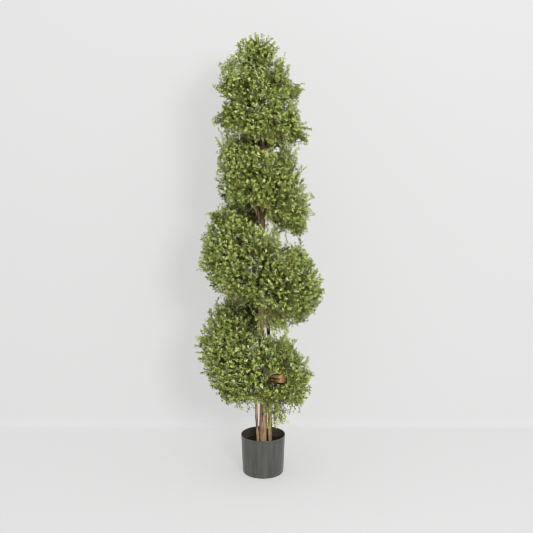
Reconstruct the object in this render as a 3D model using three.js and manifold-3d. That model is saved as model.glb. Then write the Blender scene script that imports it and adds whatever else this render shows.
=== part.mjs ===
// Artificial spiral topiary in a nursery pot. Millimetres, +Z up.
// Origin: centre of the pot's flat underside. +X right, +Y to the back, -Y to the front.
import * as THREE from 'three';
import { mergeVertices } from 'three/addons/utils/BufferGeometryUtils.js';
import Module from 'manifold-3d';

const wasm = await Module();
wasm.setup();

// ---------------------------------------------------------------- driving sizes
const GAP = 0.4; // left between neighbouring solids
const TAU = 2 * Math.PI;

const POT = { height: 168, rim: 92, base: 85, wall: 2.6, floor: 4, edge: 9, lip: 1.4, sides: 36 };
const FILL = { level: 130, clear: 0.3, sides: 32 };
const CUT = FILL.level + GAP; // height of the stems' flat cut

// Centre line of each stem: height, x, y, radius. Straight rows between the soil and the tip.
const TRUNK = [
  [CUT, -1, 0, 18],
  [150, -1, 0, 16.8],
  [210, 0, -1, 16],
  [330, 1, -2, 15.2],
  [480, -2, 1, 14.4],
  [620, -9, 0, 13.2],
  [760, -6, 3, 12],
  [930, 0, 0, 11],
  [1075, -2, -2, 10.2],
  [1230, 2, 1, 9],
  [1390, 1, 2, 7.6],
  [1560, -3, 0, 5.6],
  [1700, -8, 0, 3.2],
];
const STEM_LEFT = [
  [CUT, -21.5, -16, 5.8],
  [160, -22.5, -14, 5.4],
  [220, -26.5, -9, 5.2],
  [290, -28.5, -6, 4.9],
  [390, -26, -2, 4.4],
  [470, -25, 2, 4],
  [545, -26, 3, 3.2],
];
const STEM_RIGHT = [
  [CUT, 30.5, -3, 9.6],
  [160, 29.3, -3, 9.2],
  [260, 27.6, -1, 8.8],
  [420, 25.6, 3, 8],
  [560, 25, 4, 7],
  [640, 21, 5, 6.4],
  [725, 14.5, 8, 5.2],
];

// The clipped band of foliage winds down round the trunk: left, front, right, back.
// at: turns below the first left-hand crossing. height: middle of the band.
// half: half its thickness. reach: furthest from the trunk axis. core: its inner wall.
// slim: how much narrower the top of the section is than its bottom.
// full: roundness of the section; under 1 fills out its corners, over 1 draws them in.
const BAND = [
  { name: '1_left', at: 0, height: 1496, half: 61, reach: 178, core: 22, slim: 0.05, full: 0.58 },
  { name: '1_front', at: 0.25, height: 1481, half: 76, reach: 172, core: 22, slim: 0.08, full: 0.68 },
  { name: '1_right', at: 0.5, height: 1467, half: 88, reach: 164, core: 23, slim: 0.14, full: 0.78 },
  { name: '1_back', at: 0.75, height: 1396, half: 88, reach: 168, core: 26, slim: 0.1, full: 0.88 },
  { name: '2_left', at: 1, height: 1283, half: 126, reach: 188, core: 30, slim: 0.02, full: 0.9 },
  { name: '2_front', at: 1.25, height: 1240, half: 108, reach: 188, core: 31, slim: 0.05, full: 0.9 },
  { name: '2_right', at: 1.5, height: 1184, half: 186, reach: 175, core: 32, slim: 0.48, full: 0.98 },
  { name: '2_back', at: 1.75, height: 1130, half: 84, reach: 196, core: 33, slim: 0.1, full: 0.9 },
  { name: '3_left', at: 2, height: 966, half: 158, reach: 250, core: 38, slim: 0.1, full: 0.92 },
  { name: '3_front', at: 2.25, height: 905, half: 162, reach: 248, core: 40, slim: 0.03, full: 0.95 },
  { name: '3_right', at: 2.5, height: 796, half: 154, reach: 247, core: 43, slim: 0, full: 1.28 },
  { name: '3_back', at: 2.75, height: 700, half: 108, reach: 238, core: 43, slim: 0.06, full: 0.95 },
  { name: '4_left', at: 3, height: 537, half: 204, reach: 266, core: 45, slim: -0.05, full: 1.42 },
  { name: '4_front', at: 3.25, height: 482, half: 122, reach: 246, core: 44, slim: -0.02, full: 1 },
  { name: '4_right', at: 3.5, height: 446, half: 147, reach: 184, core: 34, slim: 0.22, full: 1 },
];
const BAND_START = { height: 1504, half: 56, reach: 172, core: 22, slim: 0.05, full: 0.5 };
const BAND_END = { height: 436, half: 92, reach: 150, core: 40, slim: 0.1, full: 0.9 };
const STEPS = 8; // sections along one quarter turn
const AROUND = 15; // points round one section
const BOXY = 0.5; // the least fullness, in the crown; its flat tops swell less
const DROOP = 10; // how far the outer edge hangs below the middle
const PINCH = 0.07; // waist where two masses meet
const UNEVEN = { coarse: 11, fine: 6 };

// Above the band, two half rings and a tip close the crown.
const CROWN = [
  { name: 'crown_left', from: -0.25, height: 1618, half: 55, reach: 166, core: 15, slim: 0.08, full: BOXY },
  { name: 'crown_right', from: 0.25, height: 1618, half: 55, reach: 132, core: 15, slim: 0.34, full: BOXY },
];
const TIP = { x: -32, base: 1677, top: 1795, radius: 84, rings: 7, sides: 16 };

// A stout limb leaves the trunk to the front and right and shows its sawn end in a hollow.
const LIMB = { start: [0, 0, 412], middle: [8, -92, 438], end: [90, -158, 456], base: 18.5, tip: 18.5 };
const HOLLOW = { centre: [52, -218, 460], radii: [52, 88, 38] };

// The fork: a limb that leaves the trunk low and runs up to the left into the second turn.
const FORK = { start: [-3, -1, 1052], middle: [-32, 2, 1122], end: [-74, -4, 1236], base: 7.4, tip: 4.6 };

// ---------------------------------------------------------------- small tools
function lerp(a, b, f) {
  return a + (b - a) * f;
}

function spline(p, f) {
  // Catmull-Rom through p[1] and p[2]
  const m1 = (p[2] - p[0]) / 2;
  const m2 = (p[3] - p[1]) / 2;
  const f2 = f * f;
  const f3 = f2 * f;
  return (2 * f3 - 3 * f2 + 1) * p[1] + (f3 - 2 * f2 + f) * m1
    + (3 * f2 - 2 * f3) * p[2] + (f3 - f2) * m2;
}

function signedPower(v, n) {
  return Math.sign(v) * Math.abs(v) ** n;
}

function unevenness(x, y, z) {
  // smooth swell of the clipped surface, the same wherever two masses meet
  const coarse = Math.sin(x / 47 + 1.1) * Math.cos(y / 43 - 0.6) + Math.sin(z / 39 + x / 71);
  const fine = Math.sin(x / 21 - z / 27) * Math.cos(y / 23 + z / 19);
  return UNEVEN.coarse * coarse / 2 + UNEVEN.fine * fine;
}

function closedLoft(rings) {
  // rings of equal length, capped at both ends by a fan round each ring's middle
  const n = rings[0].length;
  const points = [];
  const faces = [];
  for (const ring of rings) {
    for (const p of ring) points.push(...p);
  }
  for (let i = 0; i + 1 < rings.length; i += 1) {
    for (let j = 0; j < n; j += 1) {
      const a = i * n + j;
      const b = i * n + (j + 1) % n;
      faces.push(a, b, b + n, a, b + n, a + n);
    }
  }
  for (const [ring, flip] of [[0, true], [rings.length - 1, false]]) {
    const middle = points.length / 3;
    const sum = rings[ring].reduce((s, p) => [s[0] + p[0], s[1] + p[1], s[2] + p[2]], [0, 0, 0]);
    points.push(...sum.map((v) => v / n));
    for (let j = 0; j < n; j += 1) {
      const a = ring * n + j;
      const b = ring * n + (j + 1) % n;
      if (flip) faces.push(middle, b, a);
      else faces.push(middle, a, b);
    }
  }
  const geometry = new THREE.BufferGeometry();
  geometry.setAttribute('position', new THREE.Float32BufferAttribute(points, 3));
  geometry.setIndex(faces);
  return geometry;
}

function facingOut(geometry) {
  // turns every face if the volume comes out negative
  const p = geometry.getAttribute('position');
  const index = geometry.getIndex().array;
  const a = new THREE.Vector3();
  const b = new THREE.Vector3();
  const c = new THREE.Vector3();
  let volume = 0;
  for (let i = 0; i < index.length; i += 3) {
    a.fromBufferAttribute(p, index[i]);
    b.fromBufferAttribute(p, index[i + 1]);
    c.fromBufferAttribute(p, index[i + 2]);
    volume += a.dot(b.cross(c));
  }
  if (volume < 0) {
    for (let i = 0; i < index.length; i += 3) {
      const swap = index[i + 1];
      index[i + 1] = index[i + 2];
      index[i + 2] = swap;
    }
  }
  return geometry;
}

function toSolid(geometry) {
  const bare = geometry.clone();
  bare.deleteAttribute('normal');
  bare.deleteAttribute('uv');
  const merged = mergeVertices(bare, 1e-4);
  return new wasm.Manifold(new wasm.Mesh({
    numProp: 3,
    vertProperties: new Float32Array(merged.getAttribute('position').array),
    triVerts: new Uint32Array(merged.getIndex().array),
  }));
}

function toGeometry(solid) {
  const mesh = solid.getMesh();
  const points = new Float32Array(mesh.numVert * 3);
  for (let i = 0; i < mesh.numVert; i += 1) {
    for (let k = 0; k < 3; k += 1) points[i * 3 + k] = mesh.vertProperties[i * mesh.numProp + k];
  }
  const geometry = new THREE.BufferGeometry();
  geometry.setAttribute('position', new THREE.BufferAttribute(points, 3));
  geometry.setIndex(Array.from(mesh.triVerts));
  return geometry;
}

function named(name, geometry, finish) {
  const flat = geometry.toNonIndexed();
  flat.computeVertexNormals();
  const mesh = new THREE.Mesh(flat, new THREE.MeshStandardMaterial(finish));
  mesh.name = name;
  return mesh;
}

// ---------------------------------------------------------------- pot and filling
function potRadius(z) {
  return lerp(POT.base, POT.rim, z / POT.height);
}

function makePot() {
  const inner = POT.edge - POT.wall;
  const profile = [new THREE.Vector2(0, 0)];
  for (let i = 0; i <= 3; i += 1) {
    const a = (i / 3) * Math.PI / 2;
    const r = potRadius(0) - POT.edge + POT.edge * Math.sin(a);
    profile.push(new THREE.Vector2(r, POT.edge - POT.edge * Math.cos(a)));
  }
  profile.push(new THREE.Vector2(potRadius(POT.height - 9) - 0.3, POT.height - 9));
  profile.push(new THREE.Vector2(potRadius(POT.height - 7) + POT.lip * 0.4, POT.height - 7));
  profile.push(new THREE.Vector2(POT.rim, POT.height - 1));
  profile.push(new THREE.Vector2(POT.rim - 1, POT.height));
  profile.push(new THREE.Vector2(POT.rim - POT.wall, POT.height - 1));
  for (let i = 2; i >= 0; i -= 1) {
    const a = (i / 2) * Math.PI / 2;
    const r = potRadius(0) - POT.edge + inner * Math.sin(a);
    profile.push(new THREE.Vector2(r, POT.floor + inner - inner * Math.cos(a)));
  }
  profile.push(new THREE.Vector2(0, POT.floor));
  const turned = mergeVertices(new THREE.LatheGeometry(profile, POT.sides).rotateX(Math.PI / 2));
  return facingOut(toGeometry(toSolid(turned)));
}

function makeFilling() {
  const wallIn = (z) => lerp(POT.base - POT.wall, POT.rim - POT.wall, z / POT.height) - FILL.clear - 0.5;
  const low = POT.floor + FILL.clear;
  const profile = [
    new THREE.Vector2(0, low),
    new THREE.Vector2(wallIn(0) - POT.edge, low),
    new THREE.Vector2(wallIn(low) - 2, low + POT.edge),
    new THREE.Vector2(wallIn(FILL.level - 4), FILL.level - 4),
    new THREE.Vector2(wallIn(FILL.level) - 3, FILL.level),
    new THREE.Vector2(0, FILL.level),
  ];
  const turned = mergeVertices(new THREE.LatheGeometry(profile, FILL.sides).rotateX(Math.PI / 2));
  return facingOut(toGeometry(toSolid(turned)));
}

// ---------------------------------------------------------------- stems and boughs
function stemAt(rows, z) {
  const last = rows.length - 1;
  let i = 0;
  while (i < last - 1 && rows[i + 1][0] < z) i += 1;
  const f = (z - rows[i][0]) / (rows[i + 1][0] - rows[i][0]);
  const pick = (k) => spline([
    rows[Math.max(i - 1, 0)][k], rows[i][k], rows[i + 1][k], rows[Math.min(i + 2, last)][k],
  ], f);
  return { x: pick(1), y: pick(2), r: Math.max(pick(3), 1) };
}

function makeStem(rows, sides, flutes, depth, more) {
  // a standing stem of level rings from its flat cut to its tip; more widens it for cutting
  const rings = [];
  const low = rows[0][0] - (more > 0 ? more : 0);
  const high = rows[rows.length - 1][0] + (more > 0 ? more : 0);
  const count = (rows.length - 1) * 2;
  for (let i = 0; i <= count; i += 1) {
    const z = lerp(low, high, i / count);
    const s = stemAt(rows, Math.min(Math.max(z, rows[0][0]), rows[rows.length - 1][0]));
    const ring = [];
    for (let j = 0; j < sides; j += 1) {
      const a = (j / sides) * TAU;
      const r = s.r * (1 + depth * Math.cos(flutes * a + z / 140)) + more;
      ring.push([s.x + r * Math.cos(a), s.y + r * Math.sin(a), z]);
    }
    rings.push(ring);
  }
  return facingOut(closedLoft(rings));
}

function makeBough(spec, sides, steps, more) {
  // one tapering limb along a bent line, its cut ends square to the line
  const curve = new THREE.QuadraticBezierCurve3(
    new THREE.Vector3(...spec.start), new THREE.Vector3(...spec.middle), new THREE.Vector3(...spec.end),
  );
  const rings = [];
  const side = new THREE.Vector3();
  const up = new THREE.Vector3();
  for (let i = 0; i <= steps; i += 1) {
    const f = i / steps;
    const along = curve.getTangent(f);
    const centre = curve.getPoint(f);
    if (more > 0 && i === steps) centre.addScaledVector(along, more);
    side.crossVectors(along, new THREE.Vector3(0.13, 0.21, 1)).normalize();
    up.crossVectors(side, along).normalize();
    const r = lerp(spec.base, spec.tip, f ** 0.8) + more;
    const ring = [];
    for (let j = 0; j < sides; j += 1) {
      const a = (j / sides) * TAU;
      const p = centre.clone();
      p.addScaledVector(side, r * Math.cos(a)).addScaledVector(up, r * Math.sin(a));
      ring.push([p.x, p.y, p.z]);
    }
    rings.push(ring);
  }
  return facingOut(closedLoft(rings));
}

function boughFor(part) {
  // leaves the trunk below the mass, clear of the side stems, and ends just inside its inner wall
  const aside = part.at > 1.9 && part.at % 0.5 === 0 ? 0.62 : 0.15;
  const a = Math.PI + part.at * TAU + aside;
  const z = part.height - part.half * 0.18;
  const low = Math.max(z - 34 - part.core * 0.9, CUT + 60);
  const axis = stemAt(TRUNK, low);
  const far = part.core + 20;
  const thick = lerp(4.2, 8.2, (1600 - part.height) / 1200);
  return {
    start: [axis.x, axis.y, low],
    middle: [axis.x + far * 0.55 * Math.cos(a), axis.y + far * 0.55 * Math.sin(a), lerp(low, z, 0.5)],
    end: [far * Math.cos(a), far * Math.sin(a), z],
    base: thick,
    tip: thick * 0.68,
  };
}

// ---------------------------------------------------------------- foliage
function bandAt(i, f) {
  // sizes of the band at fraction f of the way from mass i to mass i + 1
  const row = (k) => (k < 0 ? BAND_START : BAND[k] || BAND_END);
  const rows = [row(i - 1), row(i), row(i + 1), row(i + 2)];
  const pick = (key) => spline(rows.map((r) => r[key]), f);
  return Object.fromEntries(Object.keys(BAND_END).map((key) => [key, pick(key)]));
}

function section(size, turn, scale, shift) {
  // one upright section of the band, its points swelled by the unevenness
  const a = Math.PI + turn * TAU;
  const mid = (size.core + size.reach) / 2;
  const wide = (size.reach - size.core) / 2;
  const ring = [];
  for (let j = 0; j < AROUND; j += 1) {
    const q = (j / AROUND) * TAU;
    const out = signedPower(Math.cos(q), size.full);
    const rise = signedPower(Math.sin(q), size.full);
    const r0 = mid + wide * scale * (out - size.slim * rise * (1 + out));
    const z0 = size.height + size.half * scale * rise - DROOP * Math.max(out, 0) ** 2;
    const swell = unevenness(r0 * Math.cos(a), r0 * Math.sin(a), z0) * Math.min((r0 - size.core) / 60, 1);
    const r = Math.max(r0 + swell * out, size.core);
    const z = z0 + swell * rise * lerp(0.2, 1, Math.min((size.full - BOXY) / 0.4, 1));
    ring.push([
      r * Math.cos(a) - shift * Math.sin(a),
      r * Math.sin(a) + shift * Math.cos(a),
      z,
    ]);
  }
  return ring;
}

function makeMass(i) {
  // a quarter turn of the band, with a waist at each end; the very last end is rounded
  const rings = [];
  const last = i === BAND.length - 1;
  for (let k = 0; k <= STEPS; k += 1) {
    const s = k / STEPS - 0.5;
    const size = s < 0 ? bandAt(i - 1, 1 + s) : bandAt(i, s);
    const belly = 1 - PINCH * (2 * Math.abs(s)) ** 2;
    const rounding = last && s > 0 ? Math.sqrt(Math.max(1 - (s / 0.54) ** 2, 0)) : 1;
    const shift = k === 0 ? GAP : k === STEPS ? -GAP : 0;
    rings.push(section(size, BAND[i].at + s / 4, belly * rounding, shift));
  }
  return facingOut(closedLoft(rings));
}

function makeCrownHalf(part) {
  // half a ring of the crown; its reach eases towards that of the other half at both ends
  const rings = [];
  const steps = STEPS + 2;
  const mean = (key) => (CROWN[0][key] + CROWN[1][key]) / 2;
  for (let k = 0; k <= steps; k += 1) {
    const s = k / steps - 0.5;
    const ease = Math.cos(s * Math.PI) ** 0.8;
    const size = {
      ...part,
      reach: lerp(mean('reach'), part.reach, ease),
      slim: lerp(mean('slim'), part.slim, ease),
    };
    const shift = k === 0 ? GAP : k === steps ? -GAP : 0;
    rings.push(section(size, part.from + (s + 0.5) / 2, 1, shift));
  }
  return facingOut(closedLoft(rings));
}

function makeTip() {
  // the leading tuft, wider at its shoulder and leaning to the left
  const rings = [];
  for (let i = 0; i <= TIP.rings; i += 1) {
    const f = i / TIP.rings;
    const wide = TIP.radius * Math.sqrt(Math.max(1 - (2 * Math.abs(f - 0.34) / 1.36) ** 2.6, 0.03));
    const z0 = lerp(TIP.base, TIP.top, f);
    const ring = [];
    for (let j = 0; j < TIP.sides; j += 1) {
      const a = (j / TIP.sides) * TAU;
      const x = TIP.x + wide * Math.cos(a);
      const y = wide * Math.sin(a);
      const swell = unevenness(x * 1.4, y * 1.4, z0) * 0.8 * Math.sin(Math.min(f, 1) * Math.PI);
      ring.push([x + swell * Math.cos(a), y + swell * Math.sin(a), z0]);
    }
    rings.push(ring);
  }
  return facingOut(closedLoft(rings));
}

function makeHollow() {
  const ball = new THREE.SphereGeometry(1, 10, 7);
  ball.scale(...HOLLOW.radii).translate(...HOLLOW.centre);
  return toSolid(ball);
}

// ---------------------------------------------------------------- assembly
const WOOD = { color: 0x8a6a48, roughness: 0.85, metalness: 0 };
const BARK = { color: 0x7b5c3e, roughness: 0.88, metalness: 0 };
const PLASTIC = { color: 0x4d5150, roughness: 0.5, metalness: 0 };
const SOIL = { color: 0x2b2523, roughness: 0.95, metalness: 0 };
const GREENS = [0x6f8a3a, 0x647f35, 0x78923f, 0x5c7631];

const group = new THREE.Group();
group.name = 'spiral_topiary';

const trunk = makeStem(TRUNK, 11, 3, 0.07, 0);
const trunkRoom = toSolid(makeStem(TRUNK, 11, 3, 0.07, GAP));
const rightRoom = toSolid(makeStem(STEM_RIGHT, 9, 2, 0.08, GAP));
const leftRoom = toSolid(makeStem(STEM_LEFT, 8, 2, 0.06, GAP));

group.add(named('pot', makePot(), PLASTIC));
group.add(named('filling', makeFilling(), SOIL));
group.add(named('trunk', trunk, WOOD));
group.add(named('stem_left', makeStem(STEM_LEFT, 8, 2, 0.06, 0), BARK));
group.add(named('stem_right', makeStem(STEM_RIGHT, 9, 2, 0.08, 0), BARK));

const boughs = [];
function addBough(name, spec, sides, steps) {
  // a bough stops at the trunk and at the side stems
  const whole = toSolid(makeBough(spec, sides, steps, 0));
  const cut = whole.subtract(trunkRoom).subtract(rightRoom).subtract(leftRoom);
  const pieces = cut.decompose();
  const outer = pieces.sort((a, b) => b.volume() - a.volume())[0];
  group.add(named(name, toGeometry(outer), BARK));
  boughs.push(toSolid(makeBough(spec, sides, steps, GAP)));
}

addBough('limb_sawn', LIMB, 10, 6);
addBough('limb_fork', FORK, 8, 6);
const held = ['4_front', '2_left']; // by the sawn limb and by the fork
for (const part of BAND.filter((row) => !held.includes(row.name))) {
  addBough(`bough_${part.name}`, boughFor(part), 7, 3);
}

function addMass(name, geometry, index, cutters) {
  let solid = toSolid(geometry);
  for (const cutter of cutters) solid = solid.subtract(cutter);
  const piece = solid.decompose().sort((a, b) => b.volume() - a.volume())[0];
  group.add(named(name, toGeometry(piece), { color: GREENS[index % 4], roughness: 0.7, metalness: 0 }));
}

BAND.forEach((part, i) => {
  const open = part.name === '4_front' || part.name === '4_right';
  addMass(`foliage_${part.name}`, makeMass(i), i, [...boughs, ...(open ? [makeHollow()] : [])]);
});
CROWN.forEach((part, i) => {
  addMass(`foliage_${part.name}`, makeCrownHalf(part), i + 1, [...boughs, trunkRoom]);
});
addMass('foliage_crown_tip', makeTip(), 3, [trunkRoom]);

export default group;
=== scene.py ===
"""Artificial spiral topiary in its nursery pot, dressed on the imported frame. Metres, +Z up.

The band of foliage that winds round the stems is grown here spray by spray inside the outline of
each foliage solid, from the end of the bough that holds it.
"""
import logging
import math
from dataclasses import dataclass, field
from enum import Enum

import bpy
import numpy as np
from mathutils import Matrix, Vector
from mathutils.bvhtree import BVHTree


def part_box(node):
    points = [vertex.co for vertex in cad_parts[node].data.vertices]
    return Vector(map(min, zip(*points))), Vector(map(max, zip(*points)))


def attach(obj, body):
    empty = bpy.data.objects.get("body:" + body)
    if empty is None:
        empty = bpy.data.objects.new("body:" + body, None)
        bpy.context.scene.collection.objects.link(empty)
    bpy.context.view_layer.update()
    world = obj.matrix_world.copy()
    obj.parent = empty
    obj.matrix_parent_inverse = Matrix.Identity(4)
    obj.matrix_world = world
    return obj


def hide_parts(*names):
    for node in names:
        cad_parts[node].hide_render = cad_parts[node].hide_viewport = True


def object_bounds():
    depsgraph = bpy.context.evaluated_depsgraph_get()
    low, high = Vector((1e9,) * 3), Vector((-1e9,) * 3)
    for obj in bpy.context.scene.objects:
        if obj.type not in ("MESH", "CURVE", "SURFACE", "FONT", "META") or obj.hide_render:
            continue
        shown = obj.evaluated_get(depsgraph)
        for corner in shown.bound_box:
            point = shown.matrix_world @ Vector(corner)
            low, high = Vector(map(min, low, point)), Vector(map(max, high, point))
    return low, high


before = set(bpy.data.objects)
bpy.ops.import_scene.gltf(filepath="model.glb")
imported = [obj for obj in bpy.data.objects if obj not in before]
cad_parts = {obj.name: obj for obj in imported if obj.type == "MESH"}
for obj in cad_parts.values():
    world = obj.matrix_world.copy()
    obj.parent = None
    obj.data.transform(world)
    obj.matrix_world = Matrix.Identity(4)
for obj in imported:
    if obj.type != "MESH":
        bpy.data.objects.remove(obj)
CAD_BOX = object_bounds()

logging.basicConfig(level=logging.INFO, format="%(message)s")
log = logging.getLogger("topiary")

MM = 0.001
UP = np.array([0.0, 0.0, 1.0])
BODY = "root"
# a sprig's tip may pass the whole plant's box by this much; its leaves reach a little further
TIP_OVERHANG = 9 * MM


# ------------------------------------------------------------------ small tools
def to_linear(hex_colour: str) -> tuple[float, float, float, float]:
    """Turns an sRGB hex colour into linear RGBA.

    Args:
        hex_colour: Six hex digits with a leading hash.

    Returns:
        Linear red, green, blue and an alpha of one.
    """
    channels = [int(hex_colour[i:i + 2], 16) / 255 for i in (1, 3, 5)]
    linear = [c / 12.92 if c <= 0.04045 else ((c + 0.055) / 1.055) ** 2.4 for c in channels]
    return linear[0], linear[1], linear[2], 1.0


def unit(v: np.ndarray) -> np.ndarray:
    """Scales vectors along the last axis to length one."""
    return v / np.maximum(np.linalg.norm(v, axis=-1, keepdims=True), 1e-9)


def smooth_noise(points: np.ndarray, scale: float, seed: int) -> np.ndarray:
    """Seeded value noise at points in space.

    Args:
        points: Array of points, shape (..., 3), in metres.
        scale: Size of one noise cell in metres.
        seed: Picks the noise field.

    Returns:
        Values from -1 to 1, shape (...).
    """
    p = points / scale
    cell = np.floor(p).astype(np.int64)
    f = p - cell
    f = f * f * (3 - 2 * f)
    total = np.zeros(p.shape[:-1])
    for corner in range(8):
        offset = np.array([corner & 1, corner >> 1 & 1, corner >> 2 & 1])
        c = cell + offset
        h = c[..., 0] * 374761393 + c[..., 1] * 668265263 + c[..., 2] * 2147483647 + seed * 974711
        h = (h ^ (h >> 13)) * 1274126177
        value = ((h ^ (h >> 16)) & 0xFFFF) / 32767.5 - 1
        total += value * np.prod(np.where(offset, f, 1 - f), axis=-1)
    return total


def add_mesh(name: str, verts: np.ndarray, faces: np.ndarray, smooth: bool = True) -> bpy.types.Object:
    """Makes an object from vertex and face arrays.

    Args:
        name: Name of the object and its mesh.
        verts: Shape (n, 3), in metres.
        faces: Vertex numbers, shape (m, 3) or (m, 4).
        smooth: Whether faces are shaded smooth.

    Returns:
        The linked object.
    """
    mesh = bpy.data.meshes.new(name)
    mesh.vertices.add(len(verts))
    mesh.vertices.foreach_set("co", np.ascontiguousarray(verts, np.float32).ravel())
    mesh.loops.add(faces.size)
    mesh.loops.foreach_set("vertex_index", np.ascontiguousarray(faces, np.int32).ravel())
    mesh.polygons.add(len(faces))
    corners = faces.shape[1]
    mesh.polygons.foreach_set("loop_start", np.arange(len(faces), dtype=np.int32) * corners)
    mesh.polygons.foreach_set("loop_total", np.full(len(faces), corners, np.int32))
    mesh.update(calc_edges=True)
    mesh.polygons.foreach_set("use_smooth", np.full(len(faces), smooth))
    obj = bpy.data.objects.new(name, mesh)
    bpy.context.scene.collection.objects.link(obj)
    return obj


def finish_piece(obj: bpy.types.Object, materials: list[bpy.types.Material],
                 nodes: tuple[str, ...] = ()) -> None:
    """Dresses a piece, lets it ride on the body and hides the CAD nodes it stands for.

    Args:
        obj: The piece.
        materials: Its finishes, in slot order.
        nodes: CAD nodes that it replaces.
    """
    for material in materials:
        obj.data.materials.append(material)
    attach(obj, BODY)
    if nodes:
        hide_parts(*nodes)
    log.info("%s: %d faces", obj.name, len(obj.data.polygons))


def round_angles(sides: int) -> np.ndarray:
    """Angles of equally spaced corners round a circle."""
    return np.arange(sides) / sides * math.tau


def ring_quads(index: np.ndarray) -> np.ndarray:
    """Joins closed rings of vertices to the next ring with quads.

    Args:
        index: Vertex numbers, shape (..., rings, sides).

    Returns:
        Quads facing outwards where the rings run anticlockwise and forwards, shape (n, 4).
    """
    a, b = index[..., :-1, :], index[..., 1:, :]
    return np.stack([a, np.roll(a, -1, -1), np.roll(b, -1, -1), b], -1).reshape(-1, 4)


def tubes(points: np.ndarray, radii: np.ndarray, sides: int) -> tuple[np.ndarray, np.ndarray]:
    """Skins many polylines of equal length with tubes.

    Args:
        points: Shape (m, k, 3).
        radii: Shape (m, k).
        sides: Corners round each tube.

    Returns:
        Vertices of shape (m * k * sides, 3) and quads.
    """
    m, k, _ = points.shape
    along = unit(np.gradient(points, axis=1))
    mean = unit(along.mean(1))
    pick = np.eye(3)[np.argmin(np.abs(mean), axis=1)]
    side = unit(np.cross(along, pick[:, None, :]))
    other = np.cross(along, side)
    angle = round_angles(sides)
    ring = side[:, :, None] * np.cos(angle)[:, None] + other[:, :, None] * np.sin(angle)[:, None]
    verts = points[:, :, None] + ring * radii[:, :, None, None]
    return verts.reshape(-1, 3), ring_quads(np.arange(m * k * sides).reshape(m, k, sides))


def joined(parts: list[tuple[np.ndarray, np.ndarray]]) -> tuple[np.ndarray, np.ndarray]:
    """Joins several meshes into one.

    Args:
        parts: Vertices and faces of each mesh.

    Returns:
        The vertices and faces of all of them.
    """
    base, verts, faces = 0, [], []
    for v, f in parts:
        verts.append(v)
        faces.append(f + base)
        base += len(v)
    return np.concatenate(verts), np.concatenate(faces)


def bent_paths(start: np.ndarray, end: np.ndarray, bend: np.ndarray, count: int) -> np.ndarray:
    """Draws quadratic paths.

    Args:
        start: Where each path starts, shape (m, 3).
        end: Where each path ends, shape (m, 3).
        bend: How far the middle of each is pushed aside, shape (m, 3).
        count: Points on each path.

    Returns:
        Paths of shape (m, count, 3).
    """
    f = np.linspace(0, 1, count)[None, :, None]
    middle = (start + end) / 2 + bend
    return (1 - f) ** 2 * start[:, None] + 2 * f * (1 - f) * middle[:, None] + f * f * end[:, None]


# ------------------------------------------------------------------ finishes
@dataclass(frozen=True)
class Finish:
    """A material with one principled shader; subclasses add what gives it its look."""

    name: str
    colour: str
    roughness: float = 0.5
    specular: float = 0.5

    def node(self, tree: bpy.types.NodeTree, kind: str, settings: dict | None = None,
             **links: object) -> bpy.types.Node:
        """Adds a node, sets its properties and inputs and links its inputs.

        Args:
            tree: The material's node tree.
            kind: Node type without its ShaderNode prefix.
            settings: Property or input name to value; an input is named or numbered.
            **links: Input name, spaces as underscores and numbers as in_0, to an output socket.

        Returns:
            The new node.
        """
        made = tree.nodes.new("ShaderNode" + kind)
        for key, value in (settings or {}).items():
            if isinstance(key, str) and hasattr(made, key):
                setattr(made, key, value)
            else:
                made.inputs[key].default_value = value
        for key, source in links.items():
            target = int(key[3:]) if key.startswith("in_") else key.replace("_", " ")
            tree.links.new(source, made.inputs[target])
        return made

    def ramp(self, tree: bpy.types.NodeTree, factor: bpy.types.NodeSocket,
             stops: list[tuple[float, str]]) -> bpy.types.NodeSocket:
        """Colours a factor by stops.

        Args:
            tree: The material's node tree.
            factor: The output to colour.
            stops: Position and sRGB hex of each stop.

        Returns:
            The colour output.
        """
        made = self.node(tree, "ValToRGB", None, Fac=factor)
        elements = made.color_ramp.elements
        while len(elements) < len(stops):
            elements.new(0.5)
        for element, (position, colour) in zip(elements, stops):
            element.position, element.color = position, to_linear(colour)
        return made.outputs["Color"]

    def build(self) -> bpy.types.Material:
        """Makes the material.

        Returns:
            The finished material.
        """
        material = bpy.data.materials.new(self.name)
        material.use_nodes = True
        shader = material.node_tree.nodes["Principled BSDF"]
        shader.inputs["Base Color"].default_value = to_linear(self.colour)
        shader.inputs["Roughness"].default_value = self.roughness
        shader.inputs["Specular IOR Level"].default_value = self.specular
        self.dress(material.node_tree, shader)
        return material

    def dress(self, tree: bpy.types.NodeTree, shader: bpy.types.Node) -> None:
        """Adds the pattern of this finish; a plain one has none."""


@dataclass(frozen=True)
class LeafPlastic(Finish):
    """Soft polyethylene leaf, injection moulded and dyed through: a low waxy sheen on a plain tint.

    A little light passes through the thin blade, which keeps shaded leaves from going black.
    """

    glow: float = 0.12

    def dress(self, tree: bpy.types.NodeTree, shader: bpy.types.Node) -> None:
        """Lets light scatter inside the thin blade.

        Args:
            tree: The material's node tree; not used.
            shader: Its principled shader.
        """
        shader.inputs["Subsurface Weight"].default_value = self.glow
        shader.inputs["Subsurface Radius"].default_value = (0.6, 1.0, 0.25)
        shader.inputs["Subsurface Scale"].default_value = 1.2 * MM


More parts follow.
